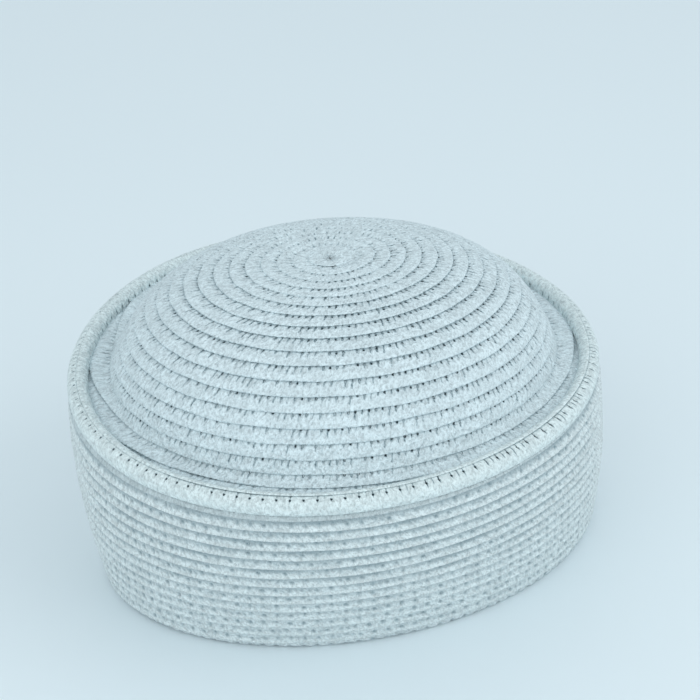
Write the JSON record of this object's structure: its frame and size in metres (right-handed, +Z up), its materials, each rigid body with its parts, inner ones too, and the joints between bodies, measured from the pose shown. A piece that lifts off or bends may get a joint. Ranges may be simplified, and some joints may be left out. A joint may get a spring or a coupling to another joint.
{
  "type": "upturned-brim braided straw hat",
  "caption": "White paper-straw hat sewn from narrow braid, with a rounded oval crown, a deep brim turned up all round and a soft rolled rim",
  "frame": {"origin": "On the surface the hat rests on, below the middle of its bounding box", "axes": "+Z up out of the crown's tip; +Y along the long axis of the head opening, front to back; +X across it. The rim leans up towards -X."},
  "size_m": [0.2044, 0.23, 0.1365],
  "materials": {
    "straw_crown": "matte",
    "straw_brim": "matte",
    "straw_rim": "matte"
  },
  "bodies": {
    "root": {"crown": "straw_crown", "brim": "straw_brim", "rim_roll": "straw_rim"}
  },
  "joints": []
}
